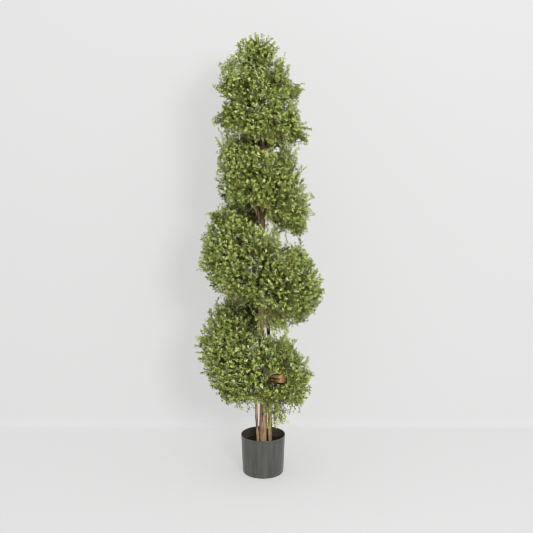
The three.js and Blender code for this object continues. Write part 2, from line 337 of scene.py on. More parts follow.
@dataclass(frozen=True)
class Bark(Finish):
    """Weathered natural pole, partly peeled: grey-brown bark, tan where rubbed, pale bare wood in strips.

    The mesh carries the relief in its wood_tone attribute, so grooves stay dark and ridges light.
    """

    fibre_mm: float = 2.2  # real fibres are under 1 mm; drawn coarser so that they show
    crack_mm: float = 7.0
    blotch_mm: float = 45.0
    tones: tuple[str, ...] = ("#47372a", "#886d53", "#b89875", "#d3b58f", "#e8d5b5")

    def dress(self, tree: bpy.types.NodeTree, shader: bpy.types.Node) -> None:
        """Colours the wood by its relief, draws the long fibres and opens the cracks.

        Args:
            tree: The material's node tree.
            shader: Its principled shader.
        """
        where = self.node(tree, "TexCoord").outputs["Object"]
        # fibres run up the pole, so the pattern is stretched to sixteen widths along Z
        stretch = self.node(tree, "Mapping", {"Scale": (1, 1, 0.06)}, Vector=where)
        fibre = self.node(tree, "TexNoise", {"Scale": 1000 / self.fibre_mm, "Detail": 5.0,
                                             "Roughness": 0.65}, Vector=stretch.outputs[0])
        crack = self.node(tree, "TexNoise", {"Scale": 1000 / self.crack_mm, "Detail": 3.0,
                                             "Roughness": 0.5}, Vector=stretch.outputs[0])
        blotch = self.node(tree, "TexNoise", {"Scale": 1000 / self.blotch_mm, "Detail": 3.0},
                           Vector=where)
        tone = self.node(tree, "Attribute", {"attribute_name": "wood_tone"}).outputs["Fac"]
        fine = self.node(tree, "MapRange", {"From Min": 0.3, "From Max": 0.7, "To Min": -0.17,
                                            "To Max": 0.17}, Value=fibre.outputs["Fac"])
        split = self.node(tree, "MapRange", {"From Min": 0.34, "From Max": 0.46, "To Min": -0.42,
                                             "To Max": 0.0}, Value=crack.outputs["Fac"])
        broad = self.node(tree, "MapRange", {"From Min": 0.35, "From Max": 0.65, "To Min": -0.12,
                                             "To Max": 0.12}, Value=blotch.outputs["Fac"])
        level = tone
        for part in (fine, split, broad):
            level = self.node(tree, "Math", {"operation": "ADD"}, in_0=level,
                              in_1=part.outputs[0]).outputs[0]
        colour = self.ramp(tree, level, list(zip((0.0, 0.25, 0.5, 0.72, 0.9), self.tones)))
        height = self.node(tree, "Math", {"operation": "ADD"}, in_0=fine.outputs[0],
                           in_1=split.outputs[0])
        bump = self.node(tree, "Bump", {"Strength": 0.8, "Distance": 1.6 * MM},
                         Height=height.outputs[0])
        tree.links.new(colour, shader.inputs["Base Color"])
        tree.links.new(bump.outputs[0], shader.inputs["Normal"])


@dataclass(frozen=True)
class PotPlastic(Finish):
    """Moulded HDPE, greenish grey with recycled stock in it: a broad soft sheen, faint upright streaks
    that are mould marks and painted sheen bands, dust.

    The inner wall lies within a cone halfway through the thickness of the wall.
    """

    # width of the upright streaks, which are mould marks and painted sheen
    flow_sheen_mm: float = 22.0
    speck_mm: float = 5.0
    grain_mm: float = 0.9  # the real grain is about 0.2 mm; drawn coarser so that it shows
    cone_radius: float = 0.0837
    cone_slope: float = 0.0417

    def dress(self, tree: bpy.types.NodeTree, shader: bpy.types.Node) -> None:
        """Adds upright streaks (mould marks and painted sheen bands in one), pale scuffs low down, dust
        inside and the fine moulded grain.

        Args:
            tree: The material's node tree.
            shader: Its principled shader.
        """
        where = self.node(tree, "TexCoord").outputs["Object"]
        # upright streaks, lighter and darker: mould marks, and painted sheen bands standing in for the
        # reflections down the pot
        upright = self.node(tree, "Mapping", {"Scale": (1, 1, 0.12)}, Vector=where)
        flow_sheen = self.node(tree, "TexNoise", {"Scale": 1000 / self.flow_sheen_mm, "Detail": 4.0},
                         Vector=upright.outputs[0])
        body = self.ramp(tree, flow_sheen.outputs["Fac"], [(0.32, "#40423d"), (0.68, "#545550")])
        speck = self.node(tree, "TexNoise", {"Scale": 1000 / self.speck_mm, "Detail": 2.0},
                          Vector=where)
        height = self.node(tree, "SeparateXYZ", None, Vector=where).outputs["Z"]
        low = self.node(tree, "MapRange", {"From Min": 0.0, "From Max": 0.11, "To Min": 0.25,
                                           "To Max": 0.0}, Value=height)
        chance = self.node(tree, "Math", {"operation": "ADD"}, in_0=speck.outputs["Fac"],
                           in_1=low.outputs[0])
        scuff = self.node(tree, "MapRange", {"From Min": 0.86, "From Max": 0.94, "To Min": 0.0,
                                             "To Max": 0.45}, Value=chance.outputs[0])
        colour = self.node(tree, "Mix", {"data_type": "RGBA", 7: to_linear("#9a9c96")},
                           in_0=scuff.outputs[0], in_6=body)
        level = self.node(tree, "Mapping", {"Scale": (1, 1, 0)}, Vector=where)
        radius = self.node(tree, "VectorMath", {"operation": "LENGTH"}, in_0=level.outputs[0])
        half_way = self.node(tree, "Math", {"operation": "MULTIPLY_ADD", 1: self.cone_slope,
                                            2: self.cone_radius}, in_0=height)
        inside = self.node(tree, "Math", {"operation": "LESS_THAN"}, in_0=radius.outputs["Value"],
                           in_1=half_way.outputs[0])
        dust = self.node(tree, "MapRange", {"From Min": 0.35, "From Max": 0.62, "To Min": 0.2,
                                            "To Max": 0.85}, Value=speck.outputs["Fac"])
        amount = self.node(tree, "Math", {"operation": "MULTIPLY"}, in_0=inside.outputs[0],
                           in_1=dust.outputs[0])
        colour = self.node(tree, "Mix", {"data_type": "RGBA", 7: to_linear("#5d4e43")},
                           in_0=amount.outputs[0], in_6=colour.outputs[2])
        grain = self.node(tree, "TexNoise", {"Scale": 1000 / self.grain_mm, "Detail": 2.0},
                          Vector=where)
        bump = self.node(tree, "Bump", {"Strength": 0.12, "Distance": 0.25 * MM},
                         Height=grain.outputs["Fac"])
        tree.links.new(colour.outputs[2], shader.inputs["Base Color"])
        tree.links.new(bump.outputs[0], shader.inputs["Normal"])


@dataclass(frozen=True)
class SweepPaper(Finish):
    """Matt white paper lit a little from behind, so shadows on it stay pale and open."""

    glow: float = 0.42

    def dress(self, tree: bpy.types.NodeTree, shader: bpy.types.Node) -> None:
        """Adds the light that comes through the paper."""
        shader.inputs["Emission Color"].default_value = to_linear("#fffffe")
        shader.inputs["Emission Strength"].default_value = self.glow


@dataclass(frozen=True)
class OneSidedPaper(SweepPaper):
    """The same paper hung as a wall with no back to it, so the plant can be walked round."""

    def dress(self, tree: bpy.types.NodeTree, shader: bpy.types.Node) -> None:
        """Leaves the back of the sheet clear.

        Args:
            tree: The material's node tree.
            shader: Its principled shader.
        """
        super().dress(tree, shader)
        back = self.node(tree, "NewGeometry").outputs["Backfacing"]
        clear = self.node(tree, "BsdfTransparent")
        mixed = self.node(tree, "MixShader", None, in_0=back, in_1=shader.outputs[0],
                          in_2=clear.outputs[0])
        output = tree.nodes["Material Output"]
        tree.links.new(mixed.outputs[0], output.inputs["Surface"])


@dataclass(frozen=True)
class Peat(Finish):
    """Dark dressing of peat and bark crumbs over the cement: dull, uneven, brown where light falls."""

    crumb_mm: float = 4.0  # the broadest octave of the pattern spans two crumbs

    def dress(self, tree: bpy.types.NodeTree, shader: bpy.types.Node) -> None:
        """Mottles the crumbs.

        Args:
            tree: The material's node tree.
            shader: Its principled shader.
        """
        where = self.node(tree, "TexCoord").outputs["Object"]
        crumb = self.node(tree, "TexNoise", {"Scale": 1000 / self.crumb_mm / 2, "Detail": 6.0},
                          Vector=where)
        colour = self.ramp(tree, crumb.outputs["Fac"], [
            (0.3, "#1c1513"), (0.52, "#352925"), (0.66, "#55433a"),
        ])
        bump = self.node(tree, "Bump", {"Strength": 0.9, "Distance": 2.5 * MM},
                         Height=crumb.outputs["Fac"])
        tree.links.new(colour, shader.inputs["Base Color"])
        tree.links.new(bump.outputs[0], shader.inputs["Normal"])


class LeafTint(Enum):
    """Tints of the dyed leaves by slot number, from the darkest, dealt to the inside of the masses as
    painted shade, to the young tips.
    """

    SHADE = 0
    MOSS = 1
    OLIVE = 2
    MIDDLE = 3
    FRESH = 4
    GREY = 5
    TIP = 6
    LIME = 7


# SHADE, and MOSS and OLIVE in part, go to the inner coats: painted shade deep in the masses
LEAF_COLOURS = {
    LeafTint.SHADE: "#455018",
    LeafTint.MOSS: "#667429",
    LeafTint.OLIVE: "#8e9643",
    LeafTint.MIDDLE: "#899c46",
    LeafTint.FRESH: "#a2b358",
    LeafTint.GREY: "#98a477",
    LeafTint.TIP: "#bec971",
    LeafTint.LIME: "#d2da98",
}

# the dye of a spray's young leaves, one step lighter than its other leaves
LIGHTER = {
    LeafTint.SHADE: LeafTint.MOSS,
    LeafTint.MOSS: LeafTint.MIDDLE,
    LeafTint.OLIVE: LeafTint.FRESH,
    LeafTint.MIDDLE: LeafTint.FRESH,
    LeafTint.FRESH: LeafTint.TIP,
    LeafTint.GREY: LeafTint.MIDDLE,
    LeafTint.TIP: LeafTint.LIME,
    LeafTint.LIME: LeafTint.LIME,
}


# ------------------------------------------------------------------ foliage
@dataclass(frozen=True)
class LeafForm:
    """One small oval leaf of four faces, two either side of its midrib, folded and curled."""

    length: float = 13.2 * MM
    width: float = 5.6 * MM
    fold: float = 0.32
    curl: float = 0.18
    corners = 6
    sides = 4

    def blade(self, count: int, rng: np.random.Generator) -> np.ndarray:
        """Shapes leaves in their own axes: along, across and off the blade.

        Args:
            count: Number of leaves.
            rng: Random source.

        Returns:
            Array of shape (count, 6, 3), for a leaf of length one.
        """
        along = np.array([0, 0.3, 0.72, 1.0, 0.72, 0.3])
        half = np.array([0, 0.5, 0.44, 0, -0.44, -0.5]) * self.width / self.length
        across = half * rng.uniform(0.86, 1.14, (count, 1))
        fold = self.fold * rng.uniform(0.4, 1.5, (count, 1))
        curl = self.curl * rng.normal(0.6, 0.9, (count, 1))
        off = np.abs(across) * fold - curl * along ** 2
        return np.stack([np.broadcast_to(along, across.shape), across, off], -1)

    def faces(self, count: int) -> np.ndarray:
        """Two triangles on each side of the midrib, shape (count * 4, 3)."""
        half = np.array([[0, 1, 2], [0, 2, 3], [0, 3, 4], [0, 4, 5]])
        return (half[None] + np.arange(count)[:, None, None] * self.corners).reshape(-1, 3)


@dataclass
class Sprays:
    """A set of sprays: where each starts, which way it grows, its length and tint."""

    start: np.ndarray
    heading: np.ndarray
    length: np.ndarray
    bend: np.ndarray
    tint: np.ndarray
    tip_tint: np.ndarray
    scale: np.ndarray
    outer: np.ndarray

    pairs = (0.14, 0.29, 0.44, 0.59, 0.74, 0.88)
    rosette = 4
    inner_share = 0.74
    outer_share = 0.95
    young_from = 0.8

    def axis(self, f: float) -> tuple[np.ndarray, np.ndarray]:
        """Follows every spray along its bent axis.

        Args:
            f: Share of its length.

        Returns:
            Point and direction of each spray there.
        """
        reach = self.length[:, None]
        point = self.start + reach * (self.heading * f + self.bend * f * f)
        return point, unit(self.heading + 2 * self.bend * f)

    def twigs(self, root: np.ndarray) -> tuple[np.ndarray, np.ndarray]:
        """Wire twigs from each root through its spray.

        Args:
            root: Where each twig leaves its branchlet, shape (n, 3).

        Returns:
            Polylines of shape (n, 3, 3) and radii of shape (n, 3).
        """
        points = np.stack([root, self.axis(0.12)[0], self.axis(0.95)[0]], 1)
        radii = np.array([1.1, 0.95, 0.5]) * MM * np.ones((len(root), 1))
        return points, radii

    def leaves(self, form: LeafForm, rng: np.random.Generator) -> tuple[np.ndarray, np.ndarray]:
        """Sets opposite pairs along each spray, each pair turned a quarter, and a rosette at its tip.

        Args:
            form: The leaf.
            rng: Random source.

        Returns:
            Leaf vertices of shape (m, 6, 3) and the tint number of each leaf.
        """
        n = len(self.start)
        spin = rng.uniform(0, math.tau, n)
        rows: list[tuple[float, float, float, float, bool]] = []
        # place on the spray, turn round it, splay, size and whether young: less splay and size to the tip
        for i, f in enumerate(self.pairs):
            for half in (0, 1):
                turn = i * math.pi / 2 + half * math.pi
                rows.append((f, turn, 1.02 - 0.25 * f, 1.0 - 0.14 * f, f > self.young_from))
        for k in range(self.rosette):
            rows.append((1.0, 0.8 + k * math.tau / self.rosette, 0.62, 0.74, True))
        verts, tints = [], []
        for f, turn, splay, size, young in rows:
            point, along = self.axis(f)
            side = unit(np.cross(along, UP + 0.01))
            other = np.cross(along, side)
            angle = (spin + turn + rng.normal(0, 0.22, n))[:, None]
            out = side * np.cos(angle) + other * np.sin(angle)
            lean = (splay + rng.normal(0, 0.2, n))[:, None]
            blade = unit(along * np.cos(lean) + out * np.sin(lean))
            upper = unit(along * np.sin(lean) - out * np.cos(lean))
            across = np.cross(upper, blade)
            roll = rng.normal(0, 0.4, n)[:, None]
            across, upper = (across * np.cos(roll) + upper * np.sin(roll),
                             upper * np.cos(roll) - across * np.sin(roll))
            shape = form.blade(n, rng)
            grown = (form.length * size * self.scale * rng.uniform(0.82, 1.12, n))[:, None, None]
            placed = (shape[..., :1] * blade[:, None] + shape[..., 1:2] * across[:, None]
                      + shape[..., 2:] * upper[:, None]) * grown + (point + out * 0.6 * MM)[:, None]
            keep = rng.random(n) < np.where(self.outer, self.outer_share, self.inner_share)
            verts.append(placed[keep])
            tints.append((self.tip_tint if young else self.tint)[keep])
        return np.concatenate(verts), np.concatenate(tints)


class Outline:
    """The closed surface of one foliage solid, read from its CAD node."""

    def __init__(self, node: str) -> None:
        """Welds the node's faces.

        Args:
            node: Name of the CAD node.
        """
        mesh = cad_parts[node].data
        mesh.calc_loop_triangles()
        co = np.empty(len(mesh.vertices) * 3, np.float32)
        mesh.vertices.foreach_get("co", co)
        tri = np.empty(len(mesh.loop_triangles) * 3, np.int32)
        mesh.loop_triangles.foreach_get("vertices", tri)
        points, inverse = np.unique(np.round(co.reshape(-1, 3), 5), axis=0, return_inverse=True)
        self.points = points.astype(float)
        self.low, self.high = self.points.min(0), self.points.max(0)
        self.faces = inverse.ravel()[tri].reshape(-1, 3)
        corner = self.points[self.faces]
        cross = np.cross(corner[:, 1] - corner[:, 0], corner[:, 2] - corner[:, 0])
        self.area = np.linalg.norm(cross, axis=1) / 2
        self.tree = BVHTree.FromPolygons(self.points.tolist(), self.faces.tolist())
        self.normals = np.zeros_like(self.points)
        for k in range(3):
            np.add.at(self.normals, self.faces[:, k], cross)
        self.normals = unit(self.normals)
        self.flat = unit(cross)

    def scatter(self, count: int, rng: np.random.Generator) -> tuple[np.ndarray, np.ndarray, np.ndarray]:
        """Random points on the surface.

        Args:
            count: Number of points.
            rng: Random source.

        Returns:
            Points, rounded normals and face normals.
        """
        face = rng.choice(len(self.faces), count, p=self.area / self.area.sum())
        a, b = rng.random((2, count, 1))
        root = np.sqrt(a)
        w = np.concatenate([1 - root, root * (1 - b), root * b], 1)[..., None]
        p = (self.points[self.faces[face]] * w).sum(1)
        n = unit((self.normals[self.faces[face]] * w).sum(1))
        return p, n, self.flat[face]

    def depth(self, p: np.ndarray, n: np.ndarray) -> np.ndarray:
        """Measures how far the solid reaches below its surface, along the inward normal.

        Args:
            p: Surface points.
            n: Outward normals.

        Returns:
            The depth below each point in metres.
        """
        found = np.zeros(len(p))
        for i, (point, normal) in enumerate(zip(p, n)):
            hit = self.tree.ray_cast(Vector(point - normal * MM), Vector(-normal), 0.6)
            found[i] = hit[3] if hit[3] is not None else 0.02
        return found


def thinned(points: np.ndarray, spacing: np.ndarray) -> np.ndarray:
    """Keeps points that lie no closer than their spacing to one kept before.

    Args:
        points: Candidates in random order, shape (n, 3).
        spacing: Least distance for each, shape (n,).

    Returns:
        Numbers of the kept points.
    """
    cell = float(spacing.max())
    grid: dict[tuple[int, int, int], list[int]] = {}
    kept: list[int] = []
    cells = np.floor(points / cell).astype(int)
    around = [(i, j, k) for i in (-1, 0, 1) for j in (-1, 0, 1) for k in (-1, 0, 1)]
    for n, (x, y, z) in enumerate(cells.tolist()):
        near = [m for i, j, k in around for m in grid.get((x + i, y + j, z + k), ())]
        if near and (((points[near] - points[n]) ** 2).sum(1) < spacing[n] ** 2).any():
            continue
        grid.setdefault((x, y, z), []).append(n)
        kept.append(n)
    return np.array(kept, int)


@dataclass(frozen=True)
class Opening:
    """A gap that leaves keep out of, an ellipsoid."""

    centre: tuple[float, float, float]
    radii: tuple[float, float, float]

    def holds(self, p: np.ndarray) -> np.ndarray:
        """Whether each point lies in the gap."""
        return (((p - np.array(self.centre)) / np.array(self.radii)) ** 2).sum(-1) < 1


@dataclass(frozen=True)
class Openings:
    """All the gaps of the plant, asked together."""

    gaps: tuple[Opening, ...]

    def holds(self, p: np.ndarray) -> np.ndarray:
        """Whether each point lies in any of the gaps."""
        return np.any([gap.holds(p) for gap in self.gaps], axis=0)


@dataclass(frozen=True)
class Drape:
    """Sprigs that hang under a mass or rise over it, about a place given by shares of its box.

    Spread is how far they scatter about it along X and Y, and drop the least and most they hang.
    """

    share: tuple[float, float]
    spread: tuple[float, float]
    drop: tuple[float, float]
    count: int
    rising: bool = False
    probe: float = 50 * MM
    held_within: float = 60 * MM

    def hang(self, outline: "Outline", rng: np.random.Generator) -> tuple[np.ndarray, ...]:
        """Loose sprays at several heights, with a slight swing outwards.

        Args:
            outline: The mass they hang from.
            rng: Random source.

        Returns:
            The same arrays as a coat.
        """
        low, high = outline.low, outline.high
        x = low[0] + self.share[0] * (high[0] - low[0]) + rng.normal(0, self.spread[0], self.count)
        y = low[1] + self.share[1] * (high[1] - low[1]) + rng.normal(0, self.spread[1], self.count)
        top = np.full(self.count, np.nan)
        way = 1 if self.rising else -1
        below = low[2] - self.probe if way < 0 else high[2] + self.probe
        for i in range(self.count):
            hit = outline.tree.ray_cast(Vector((x[i], y[i], below)), Vector((0, 0, -way)), 0.6)
            if hit[0]:
                top[i] = hit[0].z
        drop = rng.uniform(*self.drop, self.count)
        heading = unit(np.stack([rng.normal(0.12, 0.35, self.count), rng.normal(-0.1, 0.35, self.count),
                                 way * rng.normal(0.85, 0.25, self.count)], -1))
        length = rng.uniform(38, 58, self.count) * MM
        start = np.stack([x, y, top + way * (drop - length * 0.6)], -1)
        bend = rng.normal(0, 0.12, (self.count, 3))
        tint = rng.choice([LeafTint.OLIVE.value, LeafTint.MIDDLE.value, LeafTint.FRESH.value], self.count)
        held = np.abs(top - np.nanmedian(top)) < self.held_within
        outer = np.full(self.count, True)
        return tuple(c[held] for c in (start, heading, length, bend, tint, outer))


@dataclass(frozen=True)
class Sprig:
    """A few long shoots that reach out of the mass at one place, missed by the shears."""

    share: tuple[float, float, float]
    toward: tuple[float, float, float]
    reach: float
    count: int = 7

    def hang(self, outline: "Outline", rng: np.random.Generator) -> tuple[np.ndarray, ...]:
        """Places the shoots, fanned about their direction.

        Args:
            outline: The mass they grow from.
            rng: Random source.

        Returns:
            The same arrays as a coat.
        """
        low, high = outline.low, outline.high
        place = low + np.array(self.share) * (high - low)
        surface = np.array(outline.tree.find_nearest(Vector(place))[0])
        heading = unit(np.array(self.toward) + rng.normal(0, 0.3, (self.count, 3)))
        length = rng.uniform(44, 60, self.count) * MM
        out = rng.uniform(0.35, 1.0, (self.count, 1)) * self.reach
        tip = surface + unit(np.array(self.toward)) * out + rng.normal(0, 7 * MM, (self.count, 3))
        bend = rng.normal(0, 0.1, (self.count, 3))
        start = tip - (heading + bend) * length[:, None]
        tint = rng.choice([LeafTint.MOSS.value, LeafTint.MIDDLE.value], self.count)
        return start, heading, length, bend, tint, np.full(self.count, True)


# sprigs that hang under, rise over or reach out of each mass, where its edge is ragged
LOOSE_SHOOTS: dict[str, list[Drape | Sprig]] = {
    "crown_left": [
        Drape((0.22, 0.4), (0.02, 0.03), (0.0, 0.034), 28, True),
        Sprig((0.0, 0.3, 0.3), (-1.0, -0.3, 0.1), 0.022),
    ],
    "crown_right": [
        Drape((0.45, 0.4), (0.02, 0.03), (0.0, 0.03), 24, True),
        Sprig((1.0, 0.3, 0.25), (1.0, -0.3, 0.5), 0.026, 10),
    ],
    "1_left": [Sprig((0.0, 0.3, 0.35), (-1.0, -0.2, -0.1), 0.03)],
    "1_front": [Drape((0.5, 0.35), (0.03, 0.02), (-0.01, 0.03), 30)],
    "1_right": [Sprig((1.0, 0.3, 0.0), (0.8, -0.3, -0.5), 0.014, 9)],
    "2_left": [Drape((0.2, 0.4), (0.02, 0.03), (0.0, 0.026), 16, True)],
    "2_front": [
        Drape((0.6, 0.5), (0.03, 0.03), (-0.01, 0.03), 22),
        Drape((0.5, 0.4), (0.035, 0.02), (-0.01, 0.02), 22, True),
    ],
    "2_right": [
        Drape((0.25, 0.4), (0.02, 0.03), (0.0, 0.035), 12),
        Drape((0.05, 0.45), (0.012, 0.03), (0.02, 0.09), 22),
        Drape((0.42, 0.45), (0.02, 0.03), (0.0, 0.03), 24, True),
    ],
    "3_left": [Sprig((0.08, 0.3, 0.93), (-0.8, -0.2, 0.5), 0.034, 16)],
    "3_front": [Drape((0.63, 0.55), (0.024, 0.03), (-0.01, 0.08), 66)],
    "3_right": [Sprig((1.0, 0.3, 0.42), (1.0, -0.2, 0.0), 0.014)],
    "4_left": [
        Sprig((0.0, 0.4, 0.62), (-1.0, -0.2, 0.1), 0.012),
        Drape((0.9, 0.35), (0.02, 0.03), (0.0, 0.045), 26, True),
    ],
    "4_front": [
        Drape((0.66, 0.5), (0.02, 0.03), (0.0, 0.09), 44),
        Drape((0.3, 0.5), (0.05, 0.03), (0.0, 0.02), 12),
        Drape((0.62, 0.6), (0.03, 0.02), (-0.01, 0.035), 46, True),
    ],
    "4_right": [
        Drape((0.6, 0.4), (0.04, 0.05), (0.0, 0.024), 10),
        Sprig((1.0, 0.3, 0.5), (1.0, -0.2, 0.2), 0.014),
    ],
}


@dataclass
class Mass:
    """One clipped mass: sprays over its surface and in its depth, on branchlets and arms.

    An inner coat has a share of the outer sprays and lies between two shares of the mass's depth.
    """

    outline: Outline
    others: list[Outline]
    root: np.ndarray
    seed: int
    opening: Openings
    loose: list[Drape | Sprig] = field(default_factory=list)
    spacing: float = 17.0 * MM
    joint_gap: float = 30 * MM
    seam_depth: float = 85 * MM
    inner_coats: tuple[tuple[float, tuple[float, float]], ...] = ((0.62, (0.16, 0.3)), (0.42, (0.32, 0.5)))
    inner_needs: float = 60 * MM
    deepest: float = 190 * MM
    proudest: float = 14 * MM
    uplift: float = 0.36
    fan: float = 0.45
    stray_share: float = 0.05
    grey_share: float = 0.13

    def anchors(self, rng: np.random.Generator) -> tuple[np.ndarray, np.ndarray, np.ndarray]:
        """Chooses where sprays reach the surface, dense outside and sparse towards the trunk.

        Args:
            rng: Random source.

        Returns:
            Points, outward normals and the solid's depth below each point.
        """
        area = self.outline.area.sum()
        p, n, flat = self.outline.scatter(int(area / self.spacing ** 2 * 6), rng)
        low, high = self.outline.low, self.outline.high
        round_axis = (low[:2] < -15 * MM).all() and (high[:2] > 15 * MM).all()
        middle = (low + high) / 2 if round_axis else np.zeros(3)
        radial = unit((p - middle) * np.array([1, 1, 0]))
        inward = (flat * radial).sum(1) < -0.55
        reach = np.hypot(*(p - middle).T[:2])
        clump = smooth_noise(p, 55 * MM, 3)
        spacing = self.spacing * (1 - 0.16 * clump) * np.where(inward, 1.5, 1.0)
        keep = thinned(p, spacing)
        p, n, flat, reach, radial = p[keep], n[keep], flat[keep], reach[keep], radial[keep]
        joint = np.array([self.joins(Vector(q), Vector(f)) for q, f in zip(p, flat)])
        seam = joint & (reach > np.quantile(reach, 0.97) - self.seam_depth)
        n = np.where(seam[:, None], unit(radial + 0.25 * n), n)
        keep = (~joint | seam) & ~self.opening.holds(p)
        p, n = p[keep], n[keep]
        return p, n, self.outline.depth(p, n)

    def joins(self, point: Vector, outward: Vector) -> bool:
        """Whether the surface faces a neighbouring mass close by, where no spray is seen."""
        start = point + outward * 0.1 * MM
        return any(o.tree.ray_cast(start, outward, self.joint_gap)[0] for o in self.others)

    def sprays(self, rng: np.random.Generator) -> Sprays:
        """Lays an outer coat of sprays, and a darker one behind it, whose darker tints are painted shade.

        Args:
            rng: Random source.

        Returns:
            All sprays of the mass.
        """
        p, n, depth = self.anchors(rng)
        layers = [self.coat(p, n, depth, (0.0, 0.0), rng)]
        for share, deep in self.inner_coats:
            chosen = (rng.random(len(p)) < share) & (depth > self.inner_needs)
            layers.append(self.coat(p[chosen], n[chosen], depth[chosen], deep, rng))
        layers += [shoots.hang(self.outline, rng) for shoots in self.loose]
        made = [np.concatenate(c) for c in zip(*layers)]
        tip = made[0] + (made[1] + made[3]) * made[2][:, None]
        free = ~(self.opening.holds(made[0]) | self.opening.holds(tip)) & self.within_reach(tip)
        start, heading, length, bend, tint, outer = (c[free] for c in made)
        tip_tint = self.tip_tints(tint, outer, rng)
        scale = rng.uniform(0.88, 1.1, len(start)) * np.where(outer, 1.0, 1.16)
        return Sprays(start, heading, length, bend, tint, tip_tint, scale, outer)

    @staticmethod
    def within_reach(tip: np.ndarray) -> np.ndarray:
        """Whether each tip is near enough to the whole plant's box, with room left for its leaves."""
        low, high = (np.array(v) for v in CAD_BOX)
        return ((tip > low - TIP_OVERHANG) & (tip < high + TIP_OVERHANG)).all(1)

    def coat(self, q: np.ndarray, m: np.ndarray, room: np.ndarray, deep: tuple[float, float],
             rng: np.random.Generator) -> tuple[np.ndarray, ...]:
        """Lays one coat of sprays over the mass or at a depth inside it.

        Args:
            q: Surface points.
            m: Outward normals.
            room: Depth of the solid below each point.
            deep: Least and greatest depth as shares of the room; both nought for the outside.
            rng: Random source.

        Returns:
            Starts, headings, lengths, bends, tints and whether each is an outer spray.
        """
        count = len(q)
        inside = deep[1] > 0
        heading = unit(m + UP * self.uplift + rng.normal(0, self.fan, (count, 3)))
        length = rng.uniform(34, 54, count) * MM
        if inside:
            swell = -rng.uniform(*deep, count) * np.minimum(room, self.deepest) - 8 * MM
        else:
            # tufts a hand wide swell by a centimetre, and a few strays pass the shears
            tuft = smooth_noise(q, 40 * MM, 11) * 13 + smooth_noise(q, 85 * MM, 12) * 6
            swell = (tuft + rng.normal(0, 6.5, count) - 10) * MM
            stray = rng.random(count) < self.stray_share
            swell = np.where(stray, np.maximum(swell, 0) + rng.uniform(4, 14, count) * MM, swell)
            swell = np.minimum(swell, self.proudest)
        tip = q + m * swell[:, None] + rng.normal(0, 3, (count, 3)) * MM
        bend = unit(UP * 0.6 + rng.normal(0, 0.6, (count, 3))) * rng.uniform(0.02, 0.24, (count, 1))
        start = tip - (heading + bend) * length[:, None]
        return start, heading, length, bend, self.tints(q, m, inside, rng), np.full(count, not inside)

    def tints(self, q: np.ndarray, m: np.ndarray, deep: bool, rng: np.random.Generator) -> np.ndarray:
        """Deals a tint to each spray: darker in the inner coats, which is painted shade; lighter where the
        surface faces up, which is painted light from above; and by drifts of one dye lot and by chance.

        Args:
            q: Surface points.
            m: Outward normals.
            deep: Whether the sprays lie inside the mass.
            rng: Random source.

        Returns:
            The tint number of each spray.
        """
        # facing up lightens the tint: painted light from above
        drift_and_top_light = smooth_noise(q, 90 * MM, 21) + rng.normal(0, 0.55, len(q)) + 0.25 * m[:, 2]
        order = [LeafTint.MOSS, LeafTint.OLIVE, LeafTint.MIDDLE, LeafTint.FRESH]
        # the inner coats get the darkest tints: painted shade deep in the mass
        if deep:
            order = [LeafTint.SHADE, LeafTint.SHADE, LeafTint.MOSS, LeafTint.OLIVE]
        level = np.digitize(drift_and_top_light, [-0.5, 0.0, 0.55])
        tint = np.array([t.value for t in order])[level]
        grey = (rng.random(len(q)) < self.grey_share) & (not deep)
        return np.where(grey, LeafTint.GREY.value, tint)

    @staticmethod
    def tip_tints(tint: np.ndarray, outer: np.ndarray, rng: np.random.Generator) -> np.ndarray:
        """Deals the young leaves at each spray's tip a lighter dye.

        Args:
            tint: The sprays' own tints.
            outer: Whether each is an outer spray.
            rng: Random source.

        Returns:
            The tint number of each spray's tip.
        """
        lighter = np.array([LIGHTER[t].value for t in LeafTint])[tint]
        chance = rng.random(len(tint))
        tip = np.where(chance < 0.14, LeafTint.LIME.value, LeafTint.TIP.value)
        tip = np.where(chance < 0.5, tip, lighter)
        return np.where(outer, tip, lighter)

    def framework(self, sprays: Sprays,
                  rng: np.random.Generator) -> list[tuple[np.ndarray, np.ndarray, int]]:
        """Grows arms from the bough, branchlets from the arms and a twig to each spray.

        Args:
            sprays: The sprays to hold.
            rng: Random source.

        Returns:
            For each order of wood its polylines, radii and number of sides.
        """
        targets = sprays.start
        arm_ends = spread(targets, max(5, len(targets) // 45), rng)
        arm_ends = arm_ends * 0.62 + self.root * 0.38
        arms, arm_points = [], [self.root[None]]
        for end in arm_ends[np.argsort(((arm_ends - self.root) ** 2).sum(1))]:
            pool = np.concatenate(arm_points)
            start = nearest(end[None], pool)[0]
            side = rng.normal(0, 0.12, 3) + UP * 0.1
            path = bent_paths(start[None], end[None], side[None] * np.linalg.norm(end - start), 7)[0]
            if self.opening.holds(path[1:]).any():
                continue
            arms.append(path)
            arm_points.append(path[2:])
        hub_ends = spread(targets, max(8, len(targets) // 5), rng)
        pool = np.concatenate(arm_points)
        hub_start = nearest(hub_ends, pool)
        hub_ends = hub_ends * 0.8 + hub_start * 0.2
        gap = np.linalg.norm(hub_ends - hub_start, axis=1, keepdims=True)
        hubs = bent_paths(hub_start, hub_ends, rng.normal(0, 0.12, hub_ends.shape) * gap, 5)
        hubs = hubs[~self.opening.holds(hubs).any(1)]
        root = nearest(targets, hubs[:, 2:].reshape(-1, 3))
        twigs = sprays.twigs(root)
        arm_radii = np.linspace(3.4, 1.5, 7) * MM * np.ones((len(arms), 1))
        hub_radii = np.linspace(1.6, 0.8, 5) * MM * np.ones((len(hubs), 1))
        return [(np.array(arms), arm_radii, 6), (hubs, hub_radii, 4), (*twigs, 3)]


